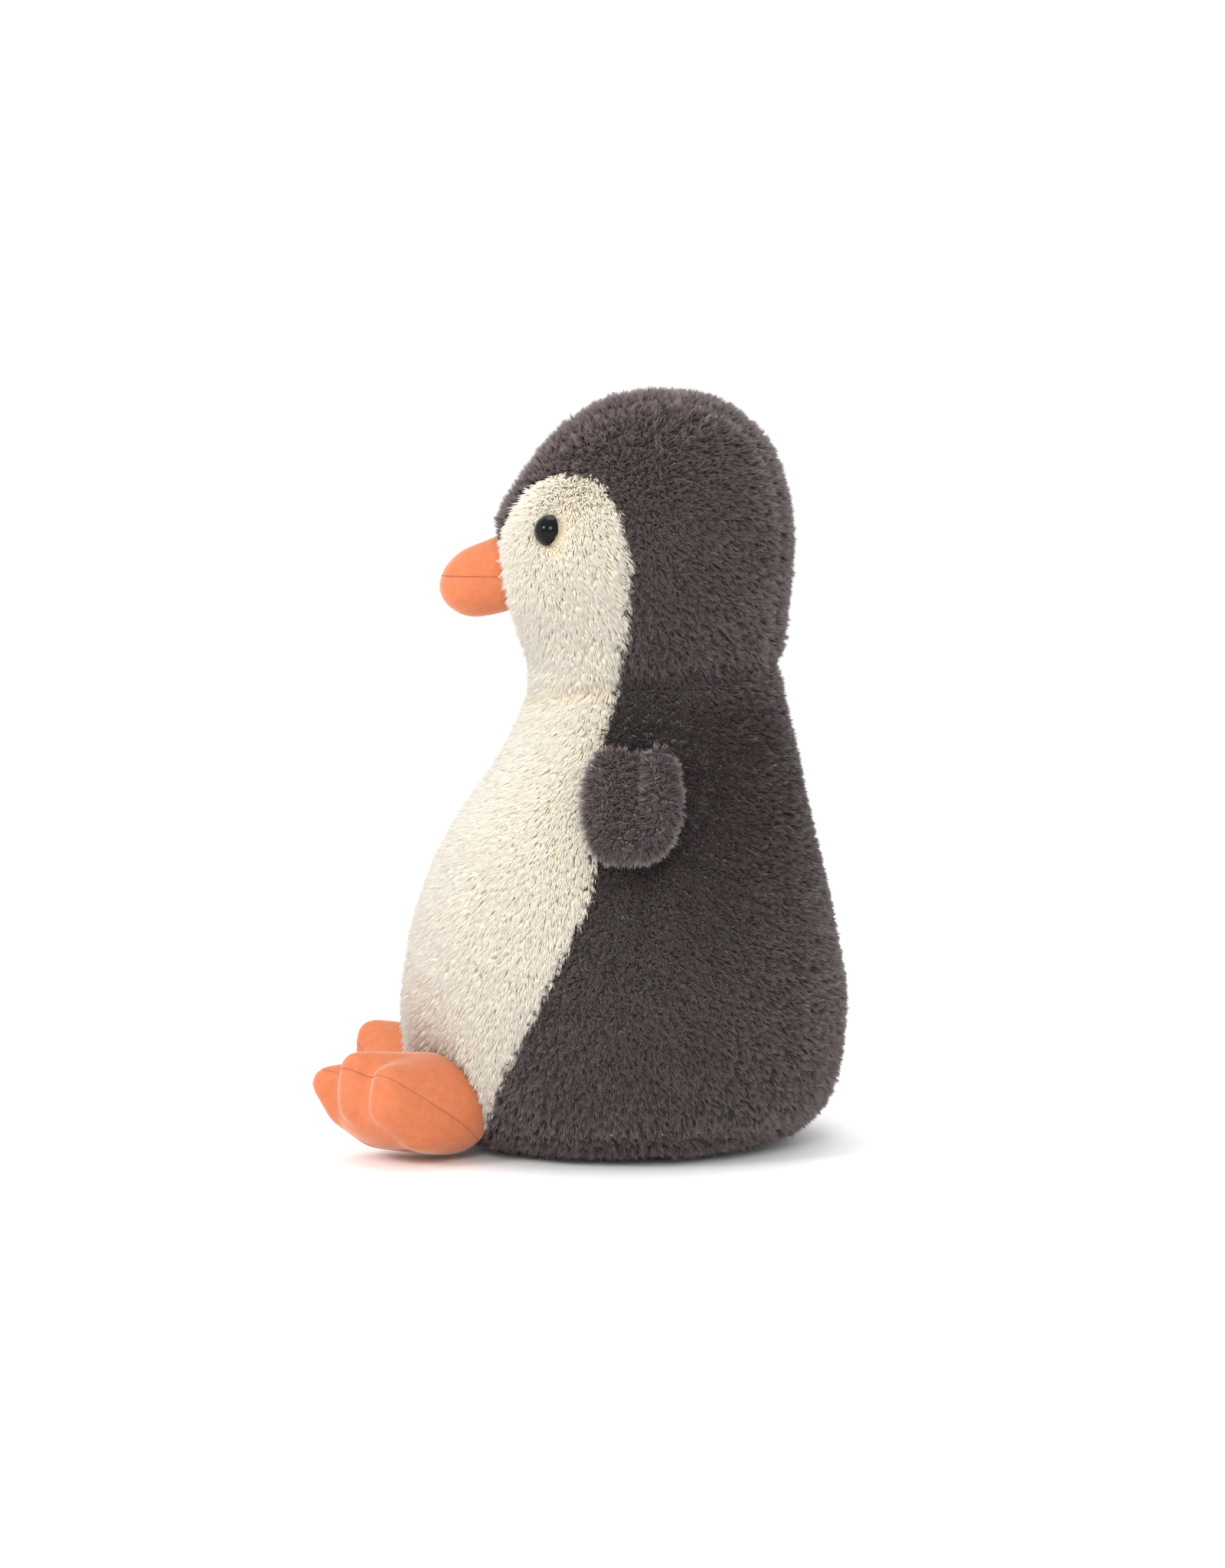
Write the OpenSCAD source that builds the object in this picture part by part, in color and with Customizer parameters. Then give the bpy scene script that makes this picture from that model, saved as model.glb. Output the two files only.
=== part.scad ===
// Plush penguin, sitting. Millimetres, +Z up. It faces -Y, and its left side is +X.
// The origin is on the floor, under the middle of the outline.
// Every panel is a closed solid as thick as its cloth and pile, and runs seam to seam.

/* [Size] */
// Sitting height, from the floor to the crown
height = 230; // [200:5:300]
// Width across the belly
belly_w = 132; // [124:1:140]
// Width across the cheeks
head_w = 100; // [96:1:104]

/* [Cloth] */
// Thickness of the plush, its backing and its pile together
plush_t = 4.5; // [3.5:0.5:5]
// Thickness of the smooth cloth of the beak and feet
suede_t = 1.2; // [1:0.1:1.6]
// Half width of the crown strip between the two hood sides
strip_w = 20; // [17:1:22]

/* [Eyes] */
// Diameter of the domed eye
eye_d = 9.5; // [8:0.5:10]
// Diameter of the shank behind the eye
shank_d = 3.2; // [2.8:0.2:4]
// Diameter of the locking washer inside the head
washer_d = 13; // [11:1:14]

/* [Flippers] */
// Length from the shoulder to the tip
flipper_l = 43; // [40:1:46]
// Width across the paddle
flipper_w = 33; // [28:1:36]
// Thickness at the middle
flipper_t = 16; // [14:1:18]

/* [Feet] */
// Length from the heel to the middle toe
foot_l = 48; // [44:1:50]
// Width across the toes
foot_w = 46; // [42:1:48]

/* [Hidden] */
$fn = 48;

charcoal = [0.27, 0.24, 0.25];
cream = [0.93, 0.88, 0.76];
orange = [0.93, 0.50, 0.30];
fibre = [0.95, 0.95, 0.95];
black = [0.03, 0.03, 0.03];

// ---- Outer shape: rings from the floor to the crown, each [z, front y, back y, half width] ----
design_h = 230;
design_belly = 132;
design_head = 100;
k = height / design_h;
neck_ring = 10; // number of the narrowest ring
cheek_ring = 13; // number of the widest ring of the head
top_ring = 19;
RINGS = [
    [0, -30, 56, 40], [3, -42, 66, 52], [9, -50, 73, 59], [20, -55, 78, 64],
    [38, -57.5, 81, 66], [58, -56, 79, 65], [78, -50.5, 74.5, 61], [98, -41, 70, 56],
    [116, -28.5, 66, 50.5], [130, -21, 62, 46.5], [143, -18, 60, 44], [154, -21, 60.8, 45.5],
    [165, -27, 62.2, 48.5], [178, -30, 63.6, 50], [191, -28, 63.6, 49.5], [203, -20.5, 61, 46],
    [214, -12, 56, 39.5], [223, -1, 47, 30], [228.5, 9, 36, 17], [230, 22, 22, 0]
];

// The belly keeps its own width, the head its own, and they blend over the neck.
function width_k(i) = let (t = min(1, max(0, (i - 7) / 5)))
    (1 - t) * belly_w / design_belly + t * head_w / design_head;
function ring_at(i) = let (c = RINGS[min(top_ring, max(0, i))])
    [c[0] * k, c[1] * k, c[2] * k, c[3] * k * width_k(i)];
// A smooth curve from b to c, with a before them and d after
function spline(a, b, c, d, t) = 0.5 * (2 * b + (c - a) * t
    + (2 * a - 5 * b + 4 * c - d) * pow(t, 2) + (3 * b - a - 3 * c + d) * pow(t, 3));
// A smooth curve through the rings; s counts rings and may be a fraction.
function ring(s) = let (
        i = min(top_ring - 1, max(0, floor(s))), t = s - i,
        a = ring_at(i - 1), b = ring_at(i), c = ring_at(i + 1), d = ring_at(i + 2)
    ) spline(a, b, c, d, t);
// The s at height z
function ring_near(z, lo = 0, hi = 19, n = 22) = n == 0 ? (lo + hi) / 2 :
    let (m = (lo + hi) / 2) ring(m)[0] < z ? ring_near(z, m, hi, n - 1) : ring_near(z, lo, m, n - 1);

cheek = ring(cheek_ring);
head_middle = [0, (cheek[1] + cheek[2]) / 2, cheek[0]];
function unit(v) = v / max(norm(v), 1e-6);
function mid(r) = (r[1] + r[2]) / 2;
// A point of the outer surface: a is 0 at the front, 90 on the left and 180 at the back.
function skin(s, a) = let (r = ring(s)) [r[3] * sin(a), mid(r) - (r[2] - r[1]) / 2 * cos(a), r[0]];
// The same point, t deeper: level below the cheeks, towards the middle of the head above them.
function deep(s, a, t) = let (p = skin(s, a), r = ring(s))
    s >= cheek_ring ? p - t * unit(p - head_middle) : p - t * unit([p[0], p[1] - mid(r), 0]);

// ---- Neck: the head nods about a pivot, so the joint face is the same at every nod ----
pivot = [0, 24 * k, 111 * k];
neck_r = 50 * k;
neck_gap = 0.7;
neck = ring(neck_ring);
across = (neck[2] - neck[1]) / 2 / neck[3];
function reach(p) = norm([across * p[0], p[1] - pivot[1], p[2] - pivot[2]]);
// The s where the surface t deep meets the joint face of radius r
function neck_s(a, t, r, lo = 9, hi = 13, n = 20) = n == 0 ? (lo + hi) / 2 :
    let (m = (lo + hi) / 2)
        reach(deep(m, a, t)) < r ? neck_s(a, t, r, m, hi, n - 1) : neck_s(a, t, r, lo, m, n - 1);

function half(a) = a > 180 ? 360 - a : a;

// ---- Polyhedra from grids of points ----
function tidy(p) = [for (c = p) round(c * 10000) / 10000];
function quad(a, b, c, d) = [[a, b, c], [a, c, d]];
function real(points, tri) = let (a = points[tri[0]], b = points[tri[1]], c = points[tri[2]])
    norm(cross(b - a, c - a)) > 1e-3;
// A sheet with thickness: outer and inner are grids of the same size, rows of columns.
module sheet(outer, inner) {
    rows = len(outer);
    cols = len(outer[0]);
    half = rows * cols;
    points = [for (r = outer) for (p = r) tidy(p), for (r = inner) for (p = r) tidy(p)];
    function at(r, c, side = 0) = side * half + r * cols + c;
    faces = [
        for (r = [0:rows - 2], c = [0:cols - 2]) each concat(
            quad(at(r, c), at(r + 1, c), at(r + 1, c + 1), at(r, c + 1)),
            quad(at(r, c, 1), at(r, c + 1, 1), at(r + 1, c + 1, 1), at(r + 1, c, 1))),
        for (r = [0:rows - 2]) each concat(
            quad(at(r, 0), at(r, 0, 1), at(r + 1, 0, 1), at(r + 1, 0)),
            quad(at(r, cols - 1), at(r + 1, cols - 1), at(r + 1, cols - 1, 1), at(r, cols - 1, 1))),
        for (c = [0:cols - 2]) each concat(
            quad(at(0, c), at(0, c + 1), at(0, c + 1, 1), at(0, c, 1)),
            quad(at(rows - 1, c), at(rows - 1, c, 1), at(rows - 1, c + 1, 1), at(rows - 1, c + 1)))
    ];
    polyhedron(points, [for (f = faces) if (real(points, f)) f]);
}
// A closed body from rings of points, each ring closed on itself, first and last capped.
module body(rows) {
    n = len(rows[0]);
    m = len(rows);
    points = [for (r = rows) for (p = r) tidy(p)];
    faces = [
        for (r = [0:m - 2], c = [0:n - 1]) each
            quad(r * n + c, (r + 1) * n + c, (r + 1) * n + (c + 1) % n, r * n + (c + 1) % n),
        for (c = [1:n - 2]) [0, c, c + 1],
        for (c = [1:n - 2]) [(m - 1) * n, (m - 1) * n + c + 1, (m - 1) * n + c]
    ];
    polyhedron(points, [for (f = faces) if (real(points, f)) f]);
}

// ---- Torso: tummy in cream, two back panels, and a base ----
torso_rows = 16;
// Where the tummy meets the back, seen from the side: [z, y]
TUMMY_EDGE = [[6, -33], [30, -25], [50, -15], [66, -7], [82, 0], [100, 2], [122, 3], [141, 8], [152, 10]];
function curve_y(list, z, i = 0) = i >= len(list) - 2 || z < list[i + 1][0] ?
    let (a = list[max(0, i - 1)], b = list[i], c = list[i + 1], d = list[min(len(list) - 1, i + 2)],
        t = (z - b[0]) / (c[0] - b[0]), w = c[0] - b[0],
        p = (c[1] - a[1]) / (c[0] - a[0]) * w, q = (d[1] - b[1]) / (d[0] - b[0]) * w)
    b[1] + p * t + (3 * (c[1] - b[1]) - 2 * p - q) * t * t + (2 * (b[1] - c[1]) + p + q) * t * t * t
    : curve_y(list, z, i + 1);
function angle_for(s, y) = let (r = ring(s)) acos(min(1, max(-1, (mid(r) - y) / ((r[2] - r[1]) / 2))));
function tummy_angle(s) = angle_for(s, curve_y(TUMMY_EDGE, ring(s)[0] / k) * k);
// The base seam rises a little at the front, under the tummy.
function base_s(a) = 1.75 + 0.35 * pow(cos(a / 2), 2);
function row_s(j, a, t) = base_s(a) + (neck_s(a, t, neck_r) - base_s(a)) * j / torso_rows;
// The angle at a share u of the way across a panel, on row j: the tummy runs from the front to its edge,
// and the back runs from that edge to the back seam.
function torso_angle(j, u, from_front) = let (
        s = base_s(60) + (neck_s(90, 0, neck_r) - base_s(60)) * j / torso_rows, edge = tummy_angle(s)
    ) from_front ? edge * u : edge + (180 - edge) * u;
module tummy_panel() {
    cols = 12;
    function grid(t) = [for (j = [0:torso_rows]) [for (c = [-cols / 2:cols / 2]) let (
        a = torso_angle(j, abs(c) * 2 / cols, true)) deep(row_s(j, a, t), a * sign(c), t)]];
    color(cream) outside_feet() sheet(grid(0), grid(plush_t));
}
module back_panel(side) {
    cols = 9;
    function grid(t) = [for (j = [0:torso_rows]) [for (c = [0:cols]) let (
        a = torso_angle(j, c / cols, false)) deep(row_s(j, a, t), a, t)]];
    color(charcoal) mirror([side < 0 ? 1 : 0, 0, 0]) outside_feet() sheet(grid(0), grid(plush_t));
}
module base_panel() {
    edge = torso_angle(0, 1, true);
    // The same angles as the panels above, so that the seams meet
    angles = concat([for (c = [0:6]) edge * c / 6], [for (c = [1:9]) edge + (180 - edge) * c / 9]);
    around = concat(angles, [for (c = [len(angles) - 2:-1:1]) 360 - angles[c]]);
    // v is 0 at the seam, 1 where the cloth meets the floor, and near 2 in the middle
    function outer(v, a) = v <= 1 ? skin(base_s(half(a)) * (1 - v), a) :
        let (p = skin(0, a), m = [0, mid(ring(0)), 0]) p + (m - p) * (v - 1);
    function inner(v, a) = let (p = outer(v, a), turn = min(v, 1) * 90,
        level = unit([p[0], p[1] - mid(ring(0)), 0]))
        p - plush_t * (level * cos(turn) - [0, 0, 1] * sin(turn));
    steps = [0, 0.3, 0.6, 0.85, 1, 1.35, 1.7, 1.95];
    color(charcoal) outside_feet() body(concat(
        [for (i = [len(steps) - 1:-1:0]) [for (a = around) outer(steps[i], a)]],
        [for (v = steps) [for (a = around) inner(v, a)]]));
}

// ---- Filling of the torso, over a pouch of pellets ----
play = 0.9; // between the cloth and what it holds
pouch_top = 34 * k;
pouch_wall = 0.8;
around_n = 28;
function turn(c) = 360 * c / around_n;
function loop(s, t) = [for (c = [0:around_n - 1]) deep(s, turn(c), t)];
module torso_filling() {
    t = plush_t + play;
    low = ring_near(pouch_top + 1.5);
    rows = 12;
    dome = 4;
    sides = [for (j = [0:rows]) [for (c = [0:around_n - 1])
        deep(low + (neck_s(half(turn(c)), t, neck_r - play) - low) * j / rows, turn(c), t)]];
    rim = sides[rows];
    top = [for (j = [1:dome]) [for (p = rim)
        let (u = 1 - j / dome, x = p[0] * u, y = pivot[1] + (p[1] - pivot[1]) * u)
        [x, y, pivot[2] + sqrt(pow(neck_r - play, 2) - pow(across * x, 2) - pow(y - pivot[1], 2))]]];
    color(fibre) outside_feet() body(concat(sides, top));
}
function pouch_rows(t) = let (low = ring_near(10 * k), high = ring_near(pouch_top - t + plush_t + play))
    concat(
        [[for (p = loop(low, t + 10)) [p[0], p[1], t]]],
        [for (j = [0:4]) [for (p = loop(low + (high - low) * j / 4, t)) [p[0], p[1], max(p[2], t)]]],
        [[for (p = loop(high, t + 8)) [p[0], p[1], p[2] + 0.6]]]);
module pellet_pouch() {
    color(fibre) outside_feet() difference() {
        body(pouch_rows(plush_t + play));
        body(pouch_rows(plush_t + play + pouch_wall));
    }
}
module pellets() {
    color([0.9, 0.9, 0.86]) outside_feet(pouch_wall + 0.6)
        body(pouch_rows(plush_t + play + pouch_wall + 0.4));
}

// ---- Head: two hood sides, a strip over the crown, and a face patch on each side ----
// Where the face patch meets the hood, from the neck up: [y, z]
FACE_EDGE = [
    [8, 143], [10, 154], [12, 165], [12, 177], [11, 187],
    [7, 198], [1, 205], [-6, 206.5], [-14, 204.5], [-21, 199]
];
// Half width and height of the crown strip's edge, from the beak up to the face patch's corner
STRIP_FRONT = [[9.5, 181.5], [13, 187], [14.5, 193], [16, 199]];
beak = [0, -26 * k, 172.7 * k]; // middle of the beak's base
beak_size = [13.2, 18.3, 12.5] * k; // half width, length and half height
function smooth(list, t) = let (
        n = len(list) - 1, i = min(n - 1, floor(t * n)), f = t * n - i,
        a = list[max(0, i - 1)], b = list[i], c = list[i + 1], d = list[min(n, i + 2)]
    ) spline(a, b, c, d, f);
function front_sa(x, z) = let (s = ring_near(z)) [s, asin(min(1, x / ring(s)[3]))];
function back_sa(x, z) = let (p = front_sa(x, z)) [p[0], 180 - p[1]];
face_edge = [for (p = FACE_EDGE) let (s = ring_near(p[1] * k)) [s, angle_for(s, p[0] * k)]];
strip_front = [for (p = STRIP_FRONT) front_sa(p[0] * k, p[1] * k)];
corner = face_edge[len(face_edge) - 1];
crown_z = 227.6 * k;
strip_top = concat([corner], [for (z = [208, 218, 225]) front_sa(strip_w, z * k)],
    [[ring_near(crown_z), 90]], [for (z = [225, 218, 208]) back_sa(strip_w, z * k)]);
back_corner = strip_top[len(strip_top) - 1];
back_foot = back_sa(strip_w, 150 * k)[1]; // angle of the strip's edge at the back of the neck
function neck_row(a, t) = neck_s(a, t, neck_r + neck_gap);
// Edge curves of the panels; each gives [s, a] for a share v of its length.
function neck_curve(a0, a1, v, t) = let (a = a0 + (a1 - a0) * v) [neck_row(a, t), a];
function face_curve(v, t) = v == 0 ? neck_curve(face_edge[0][1], 0, 0, t) : smooth(face_edge, v);
function back_curve(v, t) =
    let (foot = [neck_row(back_foot, t), back_foot], f = foot + (back_corner - foot) * v)
    v == 0 ? foot : v == 1 ? back_corner : back_sa(strip_w, ring(f[0])[0]);
// The chin seam, then round the beak: the first 0.4 of it is the chin
beak_room = 0.9; // between the beak and the edge of the faces round it
function beak_edge(turn) = front_sa(
    (beak_size[0] + beak_room) * cos(turn), beak[2] + (beak_size[2] + beak_room) * sin(turn));
chin_top = beak_edge(-90);
function chin_curve(v, t) = let (low = neck_row(0, t))
    v < 0.4 ? [low + (chin_top[0] - low) * v / 0.4, 0] :
    v == 1 ? strip_front[0] : beak_edge(-90 + (v - 0.4) / 0.6 * 134);
// A patch inside four edge curves: u runs along the neck, v up from it.
function patch(u, v, low, high, left, right) =
    (1 - v) * low + v * high + (1 - u) * left + u * right;
module head_patch(rows, cols, low, high, left, right) {
    function grid(t) = [for (j = [0:rows]) let (v = j / rows) [for (c = [0:cols]) let (
        u = c / cols,
        corners = (1 - u) * ((1 - v) * left(0, t) + v * left(1, t))
            + u * ((1 - v) * right(0, t) + v * right(1, t)),
        p = j == 0 ? low(u, t) : j == rows ? high(u, t) : c == 0 ? left(v, t) : c == cols ? right(v, t) :
            patch(u, v, low(u, t), high(u, t), left(v, t), right(v, t)) - corners
        ) deep(p[0], p[1], t)]];
    sheet(grid(0), grid(plush_t));
}
head_rows = 15;
eye_at = let (s = ring_near(187.8 * k)) [s, angle_for(s, -12.4 * k)];
washer_t = 1.6;
washer_back = plush_t + 2.2 + washer_t; // depth of the washer's inner side, which is also the shank's end
eye_turn = 14; // how far the eye looks forward of the cloth's own direction
eye_sunk = 2; // how far the dome's flat back sits below the tips of the pile
eye_rise = 3.8; // height of the dome
eye_r = (pow(eye_d / 2, 2) + pow(eye_rise, 2)) / 2 / eye_rise; // radius of the dome's curve
module at_eye(depth) {
    p = skin(eye_at[0], eye_at[1]);
    out = unit(p - head_middle);
    rise = acos(out[2]);
    way = atan2(out[1], out[0]) - eye_turn;
    translate(p - depth * [sin(rise) * cos(way), sin(rise) * sin(way), cos(rise)])
        rotate([0, rise, way]) children();
}
module face_patch() {
    color(cream) difference() {
        head_patch(head_rows, 9,
            function (u, t) neck_curve(0, face_edge[0][1], u, t),
            function (u, t) smooth(strip_front, u),
            function (v, t) chin_curve(v, t), function (v, t) face_curve(v, t));
        at_eye(plush_t + 3) cylinder(d = shank_d + 0.3, h = plush_t + 6);
        at_eye(eye_sunk + 0.2) cylinder(d = eye_d + 0.3, h = 8);
    }
}
module hood_side() {
    color(charcoal) head_patch(head_rows, 12,
        function (u, t) neck_curve(face_edge[0][1], back_foot, u, t),
        function (u, t) smooth(strip_top, u),
        function (v, t) face_curve(v, t), function (v, t) back_curve(v, t));
}
module crown_strip() {
    cols = 4; // to each side of the middle
    edge = concat(
        [for (j = [1:4]) smooth(strip_front, j / 4)],
        [for (j = [1:12]) smooth(strip_top, j / 12)]);
    back_rows = 10;
    function inside(p) = let (r = ring(ring_near(p[2])))
        p[2] < height && pow(p[0] / r[3], 2) + pow((p[1] - mid(r)) / (r[2] - r[1]) * 2, 2) < 1;
    function cast(v, lo = 0.5, hi = 1.6, n = 15) = n == 0 ? head_middle + v * lo :
        let (m = (lo + hi) / 2) inside(head_middle + v * m) ? cast(v, m, hi, n - 1) : cast(v, lo, m, n - 1);
    // Across the strip at one edge point, at the same slope as that point
    function across_row(e) = let (p = skin(e[0], e[1]) - head_middle)
        [for (c = [-cols:cols]) abs(c) == cols ? head_middle + [p[0] * sign(c), p[1], p[2]] :
            cast([p[0] * c / cols, p[1], p[2]])];
    function in(p, t) = p[2] >= cheek[0] ? p - t * unit(p - head_middle) :
        p - t * unit([p[0], p[1] - mid(ring(ring_near(p[2]))), 0]);
    beak_row = [for (c = [-cols:cols]) let (e = beak_edge(90 - 46 * abs(c) / cols),
        f = abs(c) == cols ? strip_front[0] : e) skin(f[0], f[1] * sign(c))];
    upper = concat([beak_row], [for (e = edge) across_row(e)]);
    function lower(t) = [for (j = [back_rows - 1:-1:0]) let (e = back_curve(j / back_rows, t))
        [for (c = [-cols:cols]) let (a = 180 - (180 - e[1]) * abs(c) / cols,
            s = j == 0 ? neck_row(a, t) : e[0]) deep(s, a * (c == 0 ? 1 : sign(c)), t)]];
    color(charcoal) sheet(concat(upper, lower(0)),
        concat([for (r = upper) [for (p = r) in(p, plush_t)]], lower(plush_t)));
}
module head_filling() {
    t = plush_t + play;
    rows = 14;
    dome = 4;
    low_r = neck_r + neck_gap + play;
    sides = [for (j = [0:rows]) [for (c = [0:around_n - 1]) let (low = neck_s(half(turn(c)), t, low_r))
        deep(low + (top_ring - 0.25 - low) * j / rows, turn(c), t)]];
    hollow = [for (j = [dome:-1:1]) [for (p = sides[0]) let (u = 1 - j / (dome + 0.2), x = p[0] * u,
        y = pivot[1] + (p[1] - pivot[1]) * u)
        [x, y, pivot[2] + sqrt(pow(low_r, 2) - pow(across * x, 2) - pow(y - pivot[1], 2))]]];
    color(fibre) difference() {
        body(concat(hollow, sides));
        for (side = [0, 1]) mirror([side, 0, 0]) at_eye(plush_t + 5) cylinder(d = washer_d + 1, h = 12);
    }
}

// ---- Beak: an upper and a lower half, filled ----
// al is 0 at the tip, 90 at the widest and 120 at the back edge, which tapers into the head.
function beak_point(al, turn, t, back_in = 0) = let (r = [for (c = beak_size) c - t])
    al <= 90 ? beak + [r[0] * sin(al) * cos(turn), -r[1] * cos(al), r[2] * sin(al) * sin(turn)] :
    beak + [0.8 * r[0] * cos(turn), (3 - 2 * sin(turn)) * k - back_in, 0.8 * r[2] * sin(turn)];
beak_steps = [0, 10, 20, 32, 45, 60, 75, 90, 120];
module beak_half(side) {
    // Columns run one way on the upper half and the other way on the lower, so both face out
    function turn(c) = side > 0 ? 180 - c / 16 * 180 : -c / 16 * 180;
    function grid(t) = [for (al = beak_steps) [for (c = [0:16]) beak_point(al, turn(c), t)]];
    color(orange) sheet(grid(0), grid(suede_t));
}
module beak_filling() {
    color(fibre) body([for (al = [4, 15, 30, 45, 60, 75, 90, 120]) [for (c = [0:31])
        beak_point(al, -c * 360 / 32, suede_t + 0.4, 2)]]);
}

// ---- Eyes: a dome on a shank through the face patch, held by a washer inside ----
module eye() {
    color(black) at_eye(washer_back) rotate_extrude($fn = 48) union() {
        square([shank_d / 2, washer_back - eye_sunk + 0.5]);
        translate([0, washer_back - eye_sunk]) intersection() {
            translate([0, eye_rise - eye_r]) circle(r = eye_r);
            square([eye_d / 2, eye_rise]);
        }
    }
}
module eye_washer() {
    color(fibre) at_eye(washer_back) difference() {
        cylinder(d = washer_d, h = washer_t);
        translate([0, 0, -1]) cylinder(d = shank_d + 0.2, h = 4);
    }
}

// ---- Pads: the flippers and feet are two halves sewn round an outline ----
// outline(turn) gives [x, y]; rise is the height of the half, t is how far inside the outside is
pad_turns = [for (c = [0:23]) c * 15];
function pad_row(outline, tilt, rise, t, z0) = [for (a = pad_turns)
    let (p = outline(a), q = p * (1 - t / norm(p)))
    [q[0] * sin(tilt), q[1] * sin(tilt), z0 + (rise - t - z0) * cos(tilt)]];
pad_tilts = [90, 76, 60, 42, 24, 6];
module pad_half(outline, rise, t) {
    n = len(pad_tilts);
    body(concat([for (i = [n - 1:-1:0]) pad_row(outline, pad_tilts[i], rise, t, 0.05)],
        [for (a = pad_tilts) pad_row(outline, a, rise, 0, 0.05)]));
}
module pad_filling(outline, rise, t, low_rise = 0) {
    n = len(pad_tilts);
    low = low_rise > 0 ? low_rise : rise;
    under = [for (i = [n - 1:-1:1])
        [for (p = pad_row(outline, pad_tilts[i], low, t, 0)) [p[0], p[1], -p[2]]]];
    body(concat(under,
        [for (a = pad_tilts) pad_row(outline, a, rise, t, 0)]));
}

// ---- Flippers ----
shoulder = [49.4, 11.5, 123] * k;
flipper_out = 33; // lean of the flipper from upright
flipper_in_t = 5.5; // rise of the half that faces the body
function paddle(a) = [flipper_l / 2 * cos(a), flipper_w / 2 * sin(a) * (1 - 0.1 * cos(a))];
// The pad's +x end is the root, and its +z side faces away from the body.
module at_flipper() {
    translate(shoulder) rotate([0, -flipper_out, 0]) translate([flipper_in_t * 0.5, 2, -flipper_l / 2])
        rotate([0, -90, 0]) mirror([0, 0, 1]) children();
}
module flipper_outer() {
    color(charcoal) at_flipper() pad_half(function (a) paddle(a), flipper_t - flipper_in_t, 3);
}
module flipper_inner() {
    color(charcoal) at_flipper() mirror([0, 0, 1]) pad_half(function (a) paddle(a), flipper_in_t, 3);
}
module flipper_filling() {
    color(fibre) at_flipper()
        pad_filling(function (a) paddle(a), flipper_t - flipper_in_t, 3.5, flipper_in_t);
}

// ---- Feet: three toes in front, round heel ----
foot_at = [33.5, -57.6, 17.9] * k;
foot_turn = 34; // splay to the side
foot_lift = 34; // slope of the sole, toes up
foot_roll = 7; // outer toe up
foot_t = 27; // thickness
toe_deep = 2.6; // depth of the valleys between the toes
function foot_edge(a) = let (b = a > 180 ? a - 360 : a, near = min(1, max(0, (75 - abs(b)) / 30)),
    square_k = 1 + 0.12 * pow(sin(min(abs(b), 90) * 2), 2) * (abs(b) < 90 ? 1 : 0),
    r = 1 - toe_deep / 24 * (1 - cos(b * 360 / 38)) / 2 * near)
    [foot_l / 2 * cos(a), foot_w / 2 * sin(a)] * square_k * r;
foot_flex = 8; // how far the foot bends up or down about its heel
foot_hinge = -12; // the hinge line, from the middle of the foot
module at_foot() {
    translate(foot_at) rotate([0, 0, -90 + foot_turn]) rotate([foot_roll, 0, 0]) rotate([0, -foot_lift, 0])
        children();
}
// Cuts away the room that both feet need, bending included.
module outside_feet(more = 0) {
    difference() {
        children();
        for (side = [0, 1], bend = [-foot_flex, 0, foot_flex])
            mirror([side, 0, 0]) at_foot()
                translate([foot_hinge, 0, 0]) rotate([0, bend, 0]) translate([-foot_hinge, 0, 0])
                pad_filling(function (a) foot_edge(a), foot_t / 2, -0.6 - more);
    }
}
module foot_top() {
    color(orange) at_foot() pad_half(function (a) foot_edge(a), foot_t / 2, suede_t);
}
module foot_sole() {
    color(orange) at_foot() mirror([0, 0, 1]) pad_half(function (a) foot_edge(a), foot_t / 2, suede_t);
}
module foot_filling() {
    color(fibre) at_foot() pad_filling(function (a) foot_edge(a), foot_t / 2, suede_t + 0.5);
}
module on_right() {
    mirror([1, 0, 0]) children();
}

hood_side();  // hood_left
on_right() hood_side();  // hood_right
crown_strip();
face_patch();  // face_left
on_right() face_patch();  // face_right
beak_half(1);  // beak_upper
beak_half(-1);  // beak_lower
beak_filling();
eye();  // eye_left
on_right() eye();  // eye_right
eye_washer();  // eye_washer_left
on_right() eye_washer();  // eye_washer_right
head_filling();
tummy_panel();
back_panel(1);  // back_left
back_panel(-1);  // back_right
base_panel();
torso_filling();
pellet_pouch();
pellets();
flipper_outer();  // flipper_left_outer
flipper_inner();  // flipper_left_inner
flipper_filling();  // flipper_left_filling
on_right() flipper_outer();  // flipper_right_outer
on_right() flipper_inner();  // flipper_right_inner
on_right() flipper_filling();  // flipper_right_filling
foot_top();  // foot_left_top
foot_sole();  // foot_left_sole
foot_filling();  // foot_left_filling
on_right() foot_top();  // foot_right_top
on_right() foot_sole();  // foot_right_sole
on_right() foot_filling();  // foot_right_filling
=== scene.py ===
import math

import bpy
import numpy as np
from mathutils import Matrix, Vector
from mathutils.bvhtree import BVHTree
from mathutils.kdtree import KDTree


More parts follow.
